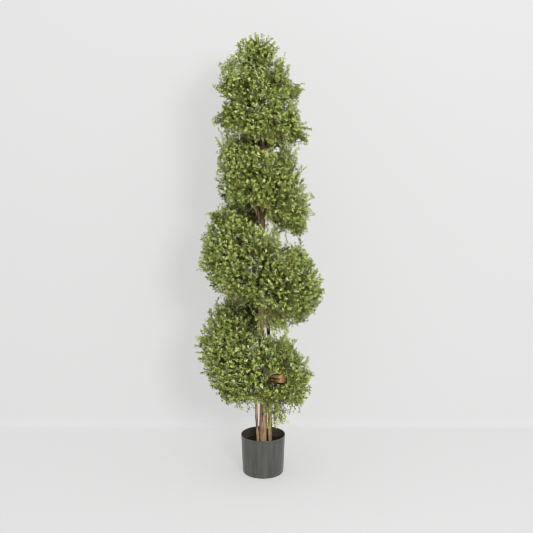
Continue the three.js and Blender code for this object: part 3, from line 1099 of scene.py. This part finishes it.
def spread(points: np.ndarray, count: int, rng: np.random.Generator) -> np.ndarray:
    """Middles of groups of points, by a few rounds of nearest-middle grouping.

    Args:
        points: Shape (n, 3).
        count: Number of groups.
        rng: Random source.

    Returns:
        Middles, shape (count, 3).
    """
    middles = points[rng.permutation(len(points))[:count]].copy()
    for _ in range(4):
        owner = nearest_index(points, middles)
        size = np.bincount(owner, minlength=len(middles))
        total = np.zeros_like(middles)
        np.add.at(total, owner, points)
        middles = np.where(size[:, None] > 0, total / np.maximum(size, 1)[:, None], middles)
    return middles


def nearest_index(points: np.ndarray, pool: np.ndarray) -> np.ndarray:
    """Number of the pool's nearest point for each point."""
    return ((points[:, None] - pool[None]) ** 2).sum(-1).argmin(1)


def nearest(points: np.ndarray, pool: np.ndarray) -> np.ndarray:
    """The pool's nearest point for each point."""
    return pool[nearest_index(points, pool)]


@dataclass
class Canopy:
    """All the foliage: masses grouped into joined pieces of leaves and of wood."""

    stems: list["Pole"]
    opening: Openings
    loose: dict[str, list[Drape | Sprig]]
    form: LeafForm = field(default_factory=LeafForm)
    groups: dict[str, tuple[str, ...]] = field(default_factory=lambda: {
        "crown": ("crown_tip", "crown_left", "crown_right"),
        "turn_1": ("1_left", "1_front", "1_right", "1_back"),
        "turn_2": ("2_left", "2_front", "2_right", "2_back"),
        "turn_3_front": ("3_left", "3_front"),
        "turn_3_back": ("3_right", "3_back"),
        "turn_4_left": ("4_left",),
        "turn_4_front": ("4_front", "4_right"),
    })

    def bough_end(self, key: str, outline: Outline) -> np.ndarray:
        """Where the mass is held: its bough's end, the sawn limb's side, or the trunk in the crown.

        Args:
            key: The mass's place, as in its node name.
            outline: Its surface.

        Returns:
            A point in metres.
        """
        holders = {"2_left": ("limb_fork", 1.0), "4_front": ("limb_sawn", 0.3)}
        node, share = holders.get(key, ("bough_" + key, 1.0))
        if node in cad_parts:
            points = Outline(node).points
            far = np.hypot(points[:, 0], points[:, 1])
            place = far.min() + (far.max() - far.min()) * share
            return points[np.abs(far - place) < 8 * MM].mean(0)
        middle = outline.points.mean(0)
        return self.stems[0].centre_at(middle[2] - 10 * MM)

    def build(self) -> None:
        """Grows every mass and joins each group."""
        outlines = {key: Outline("foliage_" + key) for keys in self.groups.values() for key in keys}
        leaf_slots = [LeafPlastic("leaf_polyethylene_" + tint.name.lower(), colour, 0.36, 0.6).build()
                      for tint, colour in LEAF_COLOURS.items()]
        # wire dipped in brown plastic: one to three millimetres thick, too thin to show a pattern
        twig = Finish("twig_coated_wire", "#74573a", 0.6, 0.35).build()
        for g, (group, keys) in enumerate(self.groups.items()):
            leaves, tints, wood = [], [], []
            for key in keys:
                others = [o for k, o in outlines.items() if k != key]
                root = self.bough_end(key, outlines[key])
                mass = Mass(outlines[key], others, root, 100 + 10 * g, self.opening,
                            self.loose.get(key, []))
                rng = np.random.default_rng(mass.seed + len(leaves))
                sprays = mass.sprays(rng)
                verts, tint = sprays.leaves(self.form, rng)
                clear = self.clear_of(verts[:, ::3].mean(1))
                leaves.append(verts[clear])
                tints.append(tint[clear])
                for points, radii, sides in mass.framework(sprays, rng):
                    wood.append(tubes(points, radii, sides))
            self.leaf_piece(group, np.concatenate(leaves), np.concatenate(tints), leaf_slots, keys)
            self.wood_piece(group, wood, twig)

    def clear_of(self, p: np.ndarray) -> np.ndarray:
        """Tells which leaves stand clear.

        Args:
            p: Middles of the leaves.

        Returns:
            Whether each is clear of the stems and of the gaps.
        """
        clear = ~self.opening.holds(p)
        for stem in self.stems:
            clear &= ~stem.holds(p, 4 * MM)
        return clear

    def leaf_piece(self, group: str, verts: np.ndarray, tints: np.ndarray,
                   slots: list[bpy.types.Material], keys: tuple[str, ...]) -> None:
        """Joins a group's leaves into one piece, a material slot for each tint.

        Args:
            group: Name of the group.
            verts: Leaf vertices, shape (n, 6, 3).
            tints: Tint number of each leaf.
            slots: The leaf finishes by tint number.
            keys: Places of the masses that the piece replaces.
        """
        obj = add_mesh("leaves_" + group, verts.reshape(-1, 3), self.form.faces(len(verts)), False)
        finish_piece(obj, slots, tuple("foliage_" + key for key in keys))
        obj.data.polygons.foreach_set("material_index", np.repeat(tints, self.form.sides).astype(np.int32))

    @staticmethod
    def wood_piece(group: str, wood: list[tuple[np.ndarray, np.ndarray]],
                   finish: bpy.types.Material) -> None:
        """Joins a group's arms, branchlets and twigs into one piece.

        Args:
            group: Name of the group.
            wood: Vertices and quads of each set of tubes.
            finish: Its material.
        """
        finish_piece(add_mesh("twigs_" + group, *joined(wood)), [finish])


# ------------------------------------------------------------------ stems and boughs
@dataclass
class Pole:
    """A natural pole with bark relief that stands for one CAD stem, limb or bough.

    Ridge is the relief as a share of the radius, pale_sides the angles of its peeled strips, lift
    makes it lighter as a whole and cut_tone is the tone of its sawn ends.
    """

    node: str
    sides: int = 40
    rings: int = 240
    ridge: float = 0.09
    pale_sides: tuple[float, ...] = ()
    seed: int = 1
    standing: bool = True
    sunk: float = 4 * MM
    lift: float = 0.0
    cut_tone: float = 0.85
    knot_gap: float = 0.09

    def __post_init__(self) -> None:
        """Reads the centre line and radius from the CAD node."""
        points = Outline(self.node).points
        if self.standing:
            key = np.round(points[:, 2], 4)
            rows = [(points[key == z].mean(0), points[key == z]) for z in np.unique(key)]
            rows = [(c, r) for c, r in rows if len(r) > 4]
        else:
            middle = points.mean(0)
            axis = np.linalg.svd(points - middle)[2][0]
            axis = axis if axis @ (middle * [1, 1, 0]) > 0 else -axis
            s = (points - middle) @ axis
            edges = np.linspace(s.min() - 1e-6, s.max() + 1e-6, 6)
            rows = [(points[(s >= a) & (s < b)].mean(0), points[(s >= a) & (s < b)])
                    for a, b in zip(edges, edges[1:]) if ((s >= a) & (s < b)).sum() > 3]
        self.line = np.array([c for c, _ in rows])
        along = unit(np.gradient(self.line, axis=0))
        self.radius = np.array([
            np.linalg.norm(np.cross(r - c, t), axis=1).mean() for (c, r), t in zip(rows, along)
        ])

    def centre_at(self, z: float) -> np.ndarray:
        """Centre of the pole at a height."""
        return np.array([np.interp(z, self.line[:, 2], self.line[:, k]) for k in range(3)])

    def holds(self, p: np.ndarray, margin: float) -> np.ndarray:
        """Tells which points lie in the pole or close to it.

        Args:
            p: Points, shape (n, 3).
            margin: How close counts, in metres.

        Returns:
            One truth value for each point.
        """
        if not self.standing:
            gap = np.linalg.norm(p[:, None] - self.line[None], axis=-1)
            return (gap < self.radius[None] + margin).any(1)
        z = p[:, 2]
        x, y, r = (np.interp(z, self.line[:, 2], c) for c in (*self.line.T[:2], self.radius))
        inside = (z > self.line[0, 2]) & (z < self.line[-1, 2])
        return inside & (np.hypot(p[:, 0] - x, p[:, 1] - y) < r + margin)

    def build(self, finish: bpy.types.Material) -> bpy.types.Object:
        """Models the pole.

        Args:
            finish: Its material.

        Returns:
            The piece.
        """
        line, radius = self.line.copy(), self.radius.copy()
        if self.standing:
            line[0] = line[0] - UP * self.sunk
        run = np.concatenate([[0], np.cumsum(np.linalg.norm(np.diff(line, axis=0), axis=1))])
        s = np.linspace(0, run[-1], self.rings)
        centre = np.stack([np.interp(s, run, line[:, k]) for k in range(3)], -1)
        for _ in range(self.rings // 24):
            centre[1:-1] = (centre[:-2] + centre[1:-1] * 2 + centre[2:]) / 4
        thick = np.interp(s, run, radius)
        along = unit(np.gradient(centre, axis=0))
        side = unit(np.cross(along, [0.02, 1, 0.05]))
        other = np.cross(along, side)
        angle = round_angles(self.sides)
        ring = side[:, None] * np.cos(angle)[:, None] + other[:, None] * np.sin(angle)[:, None]
        skin = centre[:, None] + ring * thick[:, None, None]
        relief, tone = self.relief(skin, ring, s, angle, thick)
        verts = centre[:, None] + ring * (thick[:, None] + relief)[..., None]
        index = np.arange(self.rings * self.sides).reshape(self.rings, self.sides)
        # two sawn ends, each a fan about its middle
        rims = ((np.roll(index[0], -1), index[0]), (index[-1], np.roll(index[-1], -1)))
        caps = [[index.size + end, first, second]
                for end, pair in enumerate(rims) for first, second in zip(*pair)]
        verts = np.concatenate([verts.reshape(-1, 3), centre[[0, -1]]])
        obj = self.mesh_with_caps(verts, ring_quads(index), np.array(caps))
        tones = np.concatenate([tone.ravel(), [self.cut_tone] * 2])
        layer = obj.data.attributes.new("wood_tone", "FLOAT", "POINT")
        layer.data.foreach_set("value", tones.astype(np.float32))
        finish_piece(obj, [finish], (self.node,))
        return obj

    def mesh_with_caps(self, verts: np.ndarray, quads: np.ndarray, caps: np.ndarray) -> bpy.types.Object:
        """Adds the mesh of the pole's side and its two ends.

        Args:
            verts: Shape (n, 3).
            quads: Faces of the side.
            caps: Triangles of the ends.

        Returns:
            The linked object.
        """
        name = "pole_" + self.node
        mesh = bpy.data.meshes.new(name)
        mesh.from_pydata(verts.tolist(), [], quads.tolist() + caps.tolist())
        mesh.polygons.foreach_set("use_smooth", np.ones(len(mesh.polygons), bool))
        obj = bpy.data.objects.new(name, mesh)
        bpy.context.scene.collection.objects.link(obj)
        return obj

    def relief(self, skin: np.ndarray, ring: np.ndarray, s: np.ndarray, angle: np.ndarray,
               thick: np.ndarray) -> tuple[np.ndarray, np.ndarray]:
        """Height of the bark over the pole's radius, and its tone.

        Args:
            skin: Points on the smooth pole.
            ring: Outward directions; not used.
            s: Distance along the pole.
            angle: Angle round it.
            thick: Its radius along it.

        Returns:
            Relief in metres and tone from 0, dark groove, to 1, bare wood.
        """
        # ropes of bark 5 to 9 mm wide run nine widths up the pole, with fine fibres on them
        drawn = skin * np.array([1, 1, 0.11])
        ropes = smooth_noise(drawn, 9 * MM, self.seed) * 0.6
        ropes = ropes + smooth_noise(drawn, 4.5 * MM, self.seed + 1) * 0.4
        fine = smooth_noise(skin * np.array([1, 1, 0.2]), 2.2 * MM, self.seed + 2)
        broad = smooth_noise(skin * np.array([1, 1, 0.5]), 26 * MM, self.seed + 3)
        relief = thick[:, None] * (self.ridge * ropes + 0.05 * broad) + 0.25 * MM * fine
        tone = 0.44 + self.lift + 0.42 * ropes + 0.1 * broad + 0.08 * fine
        # a peeled strip wanders up the pole between two grooves
        for pale_side in self.pale_sides:
            centre = pale_side + 0.35 * np.sin(s * 9)[:, None]
            gap = np.abs((angle[None] - centre + math.pi) % math.tau - math.pi)
            bare = np.clip(1.5 - gap / 0.3 + 0.6 * broad, 0, 1)
            groove = np.exp(-((gap - 0.62) / 0.16) ** 2)
            relief = relief * (1 - 0.6 * bare) - thick[:, None] * (0.05 * bare + 0.2 * groove)
            tone = tone * (1 - bare) + (0.88 + 0.08 * fine) * bare - 0.4 * groove
        rng = np.random.default_rng(self.seed)
        # knots, each a swelling with a dark eye
        for _ in range(int(s[-1] / self.knot_gap)):
            at, turn, size = rng.uniform(0, s[-1]), rng.uniform(0, math.tau), rng.uniform(5, 9) * MM
            gap = np.abs((angle[None] - turn + math.pi) % math.tau - math.pi) * thick[:, None]
            d2 = (gap ** 2 + ((s - at)[:, None] * 0.7) ** 2) / size ** 2
            relief = relief + np.exp(-d2) * size * 0.28 - np.exp(-d2 * 8) * size * 0.2
            tone = tone - np.exp(-d2 * 6) * 0.35
        return relief, np.clip(tone, 0, 1)


# ------------------------------------------------------------------ pot
@dataclass
class NurseryPot:
    """Thin moulded pot with a rolled lip, and the top dressing in it."""

    sides: int = 160
    wall: float = 2.6 * MM
    edge: float = 9 * MM
    floor: float = 4 * MM
    taper: float = 7 * MM
    crumb_count: int = 420

    def profile(self) -> list[tuple[float, float]]:
        """Draws half the pot's section from its own box, up the outside and down the inside.

        Returns:
            Radius and height of each point.
        """
        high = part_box("pot")[1]
        rim, top = high.x, high.z
        base = rim - self.taper
        points = [(0.0, 0.9 * MM), (base - 26 * MM, 0.9 * MM), (base - 24 * MM, 0.0)]
        for i in range(9):
            a = i / 8 * math.pi / 2
            points.append((base - self.edge + self.edge * math.sin(a), self.edge * (1 - math.cos(a))))
        for f in np.linspace(0.1, 0.94, 14):
            bulge = 0.25 * MM * math.sin(f * math.pi)
            points.append((base + (rim - base) * f * 0.93 + bulge, top * f))
        points += [(rim - 1.0 * MM, top - 9 * MM), (rim - 0.1 * MM, top - 7.4 * MM), (rim, top - 4 * MM)]
        points += [(rim - 0.15 * MM, top - 1.4 * MM), (rim - 0.7 * MM, top - 0.35 * MM)]
        points += [(rim - 1.4 * MM, top), (rim - 2.2 * MM, top - 0.3 * MM)]
        points += [(rim - self.wall, top - 1.2 * MM), (rim - self.wall - 0.6 * MM, top - 8 * MM)]
        for f in np.linspace(0.9, 0.12, 8):
            points.append((base + (rim - base) * f - self.wall, top * f))
        points += [(base - self.edge, self.floor), (0.0, self.floor)]
        return points

    def build(self) -> None:
        """Turns the pot, and lays the dressing."""
        profile = np.array(self.profile())
        angle = round_angles(self.sides)
        x = profile[:, :1] * np.cos(angle)
        y = profile[:, :1] * np.sin(angle)
        z = np.repeat(profile[:, 1:], self.sides, 1)
        verts = np.stack([x, y, z], -1)
        index = np.arange(verts[..., 0].size).reshape(len(profile), self.sides)
        obj = add_mesh("nursery_pot", verts.reshape(-1, 3), ring_quads(index))
        finish_piece(obj, [PotPlastic("moulded_hdpe", "#474843", 0.31, 0.5).build()], ("pot",))
        self.dressing()

    def dressing(self) -> None:
        """A crumbly surface, with loose crumbs and chips on it."""
        low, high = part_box("filling")
        radius, top = high.x - 0.3 * MM, high.z
        rings, sides = 40, 120
        r = np.linspace(0.0, radius, rings)[:, None] * np.ones(sides)
        angle = round_angles(sides)
        flat = np.stack([r * np.cos(angle), r * np.sin(angle), np.zeros_like(r)], -1)
        z = smooth_noise(flat, 14 * MM, 5) * 2.2 + smooth_noise(flat, 5 * MM, 6) * 1.6
        flat[..., 2] = top + (z - 1.5) * MM
        skirt = flat[-1:].copy()
        skirt[..., 2] = low.z + 40 * MM
        verts = np.concatenate([flat, skirt])
        # the rings run outwards, so each quad is turned over to face up
        quads = ring_quads(np.arange((rings + 1) * sides).reshape(rings + 1, sides))[:, [0, 3, 2, 1]]
        finish = Peat("peat_dressing", "#2c221e", 0.95, 0.2).build()
        obj = add_mesh("top_dressing", verts.reshape(-1, 3), quads)
        finish_piece(obj, [finish], ("filling",))
        self.crumbs(radius, top, finish)

    def crumbs(self, radius: float, top: float, finish: bpy.types.Material) -> None:
        """Strews loose crumbs, each a lopsided eight-sided lump.

        Args:
            radius: Radius of the dressing.
            top: Its height.
            finish: Its material.
        """
        rng = np.random.default_rng(8)
        count = self.crumb_count
        r = radius * np.sqrt(rng.random(count)) * 0.95
        a = rng.uniform(0, math.tau, count)
        size = rng.uniform(1.5, 5.0, count) * MM
        centre = np.stack([r * np.cos(a), r * np.sin(a), np.full(count, top) + size * 0.1], -1)
        shape = np.array([[1, 0, 0], [-1, 0, 0], [0, 1, 0], [0, -1, 0], [0, 0, 0.6], [0, 0, -0.6]])
        turn = np.linalg.qr(rng.normal(0, 1, (count, 3, 3)))[0]
        lump = (shape * rng.uniform(0.6, 1.3, (count, 6, 1))) @ turn
        verts = centre[:, None] + lump * size[:, None, None] * np.array([1, 1, 0.7])
        upper = [[0, 2, 4], [2, 1, 4], [1, 3, 4], [3, 0, 4]]
        lower = [[b, a, 5] for a, b, _ in upper]
        faces = (np.array(upper + lower)[None] + np.arange(count)[:, None, None] * 6).reshape(-1, 3)
        finish_piece(add_mesh("dressing_crumbs", verts.reshape(-1, 3), faces, False), [finish])


# ------------------------------------------------------------------ studio
@dataclass
class Studio:
    """Pale floor and wall, a large soft key from the right, and the camera."""

    camera_height: float = 1.55
    camera_distance: float = 3.70
    camera_side: float = 0.0143
    tilt_down_deg: float = 10.25
    lens_mm: float = 62.5
    wall_distance: float = 0.55
    wall_height: float = 6.0
    cove: float = 0.05
    reach: float = 40.0

    def build(self) -> None:
        """Sets up everything round the object."""
        self.backdrop()
        self.lights()
        self.camera()

    def backdrop(self) -> None:
        """A floor all round, and a wall with a coved foot close behind."""
        paper = SweepPaper("studio_floor_paper", "#9a9a9a", 0.9, 0.1).build()
        size = self.reach
        corners = np.array([[-size, -size, 0], [size, -size, 0], [size, size, 0], [-size, size, 0]])
        floor = add_mesh("studio_floor", corners, np.array([[0, 1, 2, 3]]), False)
        floor.data.materials.append(paper)
        profile = [(self.wall_distance - self.cove + self.cove * math.sin(a),
                    0.0004 + self.cove * (1 - math.cos(a))) for a in np.linspace(0, math.pi / 2, 12)]
        profile.append((self.wall_distance, self.wall_height))
        rows = np.array([[[-size, y, z], [size, y, z]] for y, z in profile])
        index = np.arange(len(profile) * 2).reshape(-1, 2)
        quads = np.stack([index[:-1, 0], index[:-1, 1], index[1:, 1], index[1:, 0]], -1)
        wall = add_mesh("studio_wall", rows.reshape(-1, 3), quads)
        wall.data.materials.append(OneSidedPaper("studio_wall_paper", "#979797", 0.9, 0.1).build())

    def lights(self) -> None:
        """Even pale surroundings and one broad key from the right of the camera."""
        world = bpy.data.worlds.new("studio_surround")
        world.use_nodes = True
        world.node_tree.nodes["Background"].inputs[0].default_value = to_linear("#f2f3f4")
        world.node_tree.nodes["Background"].inputs[1].default_value = 0.86
        bpy.context.scene.world = world
        self.area("key", (1.5, -4.9, 2.5), (0, 0, 0.95), size=1.1, power=135)
        self.area("top", (0.2, -1.2, 4.2), (0, 0, 0.4), size=2.6, power=30)

    @staticmethod
    def area(name: str, place: tuple[float, float, float], aim: tuple[float, float, float],
             size: float, power: float) -> None:
        """Adds a square light.

        Args:
            name: Name of the light.
            place: Where it hangs.
            aim: What it is turned to.
            size: Its side in metres.
            power: Its power in watts.
        """
        data = bpy.data.lights.new(name, "AREA")
        data.size, data.energy = size, power
        lamp = bpy.data.objects.new(name, data)
        lamp.location = place
        lamp.rotation_euler = (Vector(aim) - Vector(place)).to_track_quat("-Z", "Y").to_euler()
        bpy.context.scene.collection.objects.link(lamp)

    def camera(self) -> None:
        """The camera stands at eye height and looks slightly down."""
        data = bpy.data.cameras.new("camera")
        data.lens, data.sensor_width = self.lens_mm, 36.0
        camera = bpy.data.objects.new("camera", data)
        camera.location = (self.camera_side, -self.camera_distance, self.camera_height)
        camera.rotation_euler = (math.radians(90 - self.tilt_down_deg), 0, 0)
        bpy.context.scene.collection.objects.link(camera)
        bpy.context.scene.camera = camera


def openings() -> Openings:
    """Places the gaps that show wood or air through the foliage.

    Returns:
        All the gaps.
    """
    low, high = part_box("limb_sawn")
    return Openings((
        # round the sawn limb's end, which shows in turn four
        Opening((high.x - 54 * MM, low.y - 34 * MM, high.z - 17 * MM), (49 * MM, 84 * MM, 28 * MM)),
        # in front of the trunk, under turn one
        Opening((4 * MM, -85 * MM, 1375 * MM), (24 * MM, 125 * MM, 15 * MM)),
        # beside the trunk on the right, under turn two, where the air shows through
        Opening((96 * MM, -90 * MM, 1008 * MM), (26 * MM, 140 * MM, 17 * MM)),
    ))


def build_poles() -> list[Pole]:
    """Models the stems, limbs and boughs.

    Returns:
        The poles, the trunk first.
    """
    bark = Bark("natural_pole_bark", "#8c6748", 0.85, 0.25).build()
    poles = [
        Pole("trunk", sides=56, rings=420, ridge=0.1, pale_sides=(-1.2,), seed=3, lift=-0.03),
        Pole("stem_left", sides=28, rings=160, ridge=0.07, seed=5, lift=-0.1),
        Pole("stem_right", sides=36, rings=220, ridge=0.08, seed=7, lift=-0.06),
        Pole("limb_sawn", sides=44, rings=90, ridge=0.13, pale_sides=(0.15, 2.9), seed=9,
             standing=False, lift=0.1, cut_tone=0.3),
        # the fork is lifted lighter than the other poles: partly its paler wood, partly painted light
        # where it stands in the foliage's shade
        Pole("limb_fork", sides=28, rings=70, ridge=0.08, seed=11, standing=False, lift=0.22),
    ]
    boughs = sorted(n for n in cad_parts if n.startswith("bough_"))
    poles += [Pole(name, sides=16, rings=26, ridge=0.07, seed=20 + i, standing=False)
              for i, name in enumerate(boughs)]
    peeled = ("#5c3a22", "#8f6440", "#c3945f", "#dcb688", "#ecd0a8")
    limb = Bark("peeled_limb_wood", "#c78f6c", 0.8, 0.25, tones=peeled).build()
    for pole in poles:
        pole.build(limb if pole.node == "limb_sawn" else bark)
    return poles


def main() -> None:
    """Builds the studio, the pot, the wood and the foliage."""
    bpy.context.scene.view_settings.view_transform = "Standard"
    bpy.context.scene.cycles.filter_width = 1.0
    Studio().build()
    NurseryPot().build()
    poles = build_poles()
    Canopy(poles, openings(), LOOSE_SHOOTS).build()


if __name__ == "__main__":
    main()
